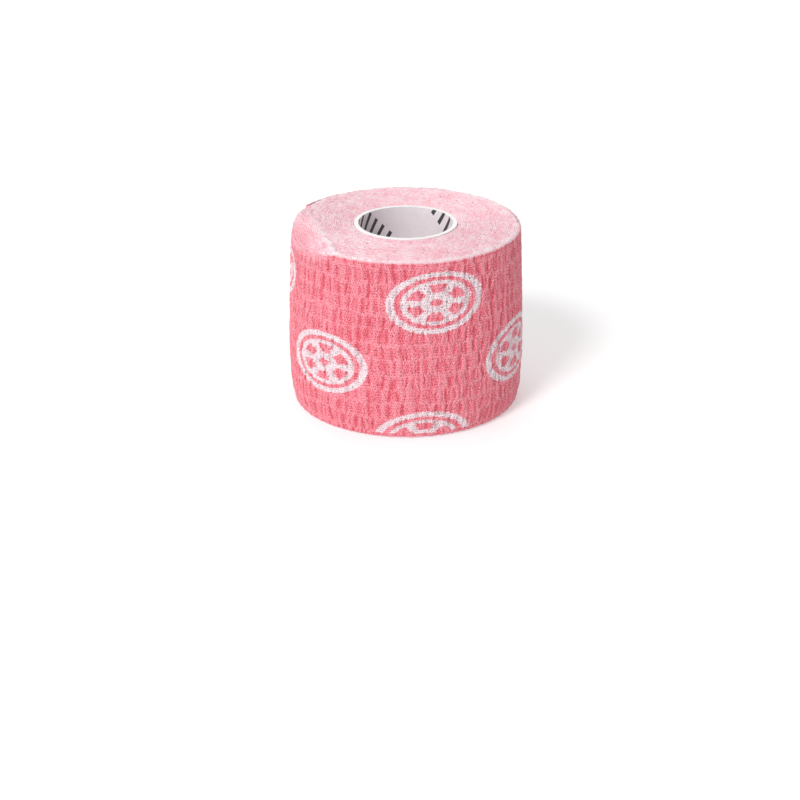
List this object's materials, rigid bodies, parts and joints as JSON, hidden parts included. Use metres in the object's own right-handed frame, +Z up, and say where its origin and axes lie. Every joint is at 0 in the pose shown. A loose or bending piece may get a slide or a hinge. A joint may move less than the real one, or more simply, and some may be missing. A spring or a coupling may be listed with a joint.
{
  "type": "cohesive hand wrap tape roll",
  "caption": "Roll of crinkled elastic cohesive tape wound on a hollow paper core, with a loose end that peels off, for wrapping hands and fingers.",
  "frame": {"origin": "on the roll's axis, at the bottom edge of the tape and the bottom end of the core", "axes": "+Z up along the core's axis; the loose end lies on the +Y side and points towards -X, so -Y is the front"},
  "size_m": [0.063, 0.0635, 0.05],
  "materials": {
    "tape_face": "matte",
    "tape_back": "matte",
    "tape_edge": "matte",
    "elastic_yarn": "matte",
    "core_paper": "satin",
    "core_board": "matte"
  },
  "bodies": {
    "roll": {"core_liner_ply": "core_paper", "core_board_ply": "core_board", "core_cover_ply": "core_paper", "wound_tape": "tape_edge", "outer_turn_back_web": "tape_back", "outer_turn_elastic_yarns": "elastic_yarn", "outer_turn_face_web": "tape_face"},
    "tail_1": {"tail_1_back_web": "tape_back", "tail_1_elastic_yarns": "elastic_yarn", "tail_1_face_web": "tape_face"},
    "tail_2": {"tail_2_back_web": "tape_back", "tail_2_elastic_yarns": "elastic_yarn", "tail_2_face_web": "tape_face"},
    "tail_3": {"tail_3_back_web": "tape_back", "tail_3_elastic_yarns": "elastic_yarn", "tail_3_face_web": "tape_face"},
    "tail_4": {"tail_4_back_web": "tape_back", "tail_4_elastic_yarns": "elastic_yarn", "tail_4_face_web": "tape_face"},
    "tail_5": {"tail_5_back_web": "tape_back", "tail_5_elastic_yarns": "elastic_yarn", "tail_5_face_web": "tape_face"}
  },
  "joints": [
    {"name": "tail_peel", "type": "hinge", "parent": "roll", "child": "tail_1", "pos_m": [0.02054, 0.02448, 0.025], "axis": [0, 0, -1], "range_deg": [0, 50]},
    {"name": "tail_end_lift", "type": "hinge", "parent": "tail_1", "child": "tail_2", "pos_m": [0.01093, 0.03003, 0.025], "axis": [0, 0, -1], "range_deg": [0, 28]},
    {"name": "tail_bend_3", "type": "hinge", "parent": "tail_2", "child": "tail_3", "pos_m": [0, 0.03196, 0.025], "axis": [0, 0, -1], "range_deg": [0, 28]},
    {"name": "tail_bend_4", "type": "hinge", "parent": "tail_3", "child": "tail_4", "pos_m": [-0.01093, 0.03003, 0.025], "axis": [0, 0, -1], "range_deg": [0, 28]},
    {"name": "tail_bend_5", "type": "hinge", "parent": "tail_4", "child": "tail_5", "pos_m": [-0.02054, 0.02448, 0.025], "axis": [0, 0, -1], "range_deg": [0, 28]}
  ],
  "couplings": [
    {"joint": "tail_bend_3", "follows": "tail_end_lift", "ratio": 1},
    {"joint": "tail_bend_4", "follows": "tail_end_lift", "ratio": 1},
    {"joint": "tail_bend_5", "follows": "tail_end_lift", "ratio": 1}
  ]
}
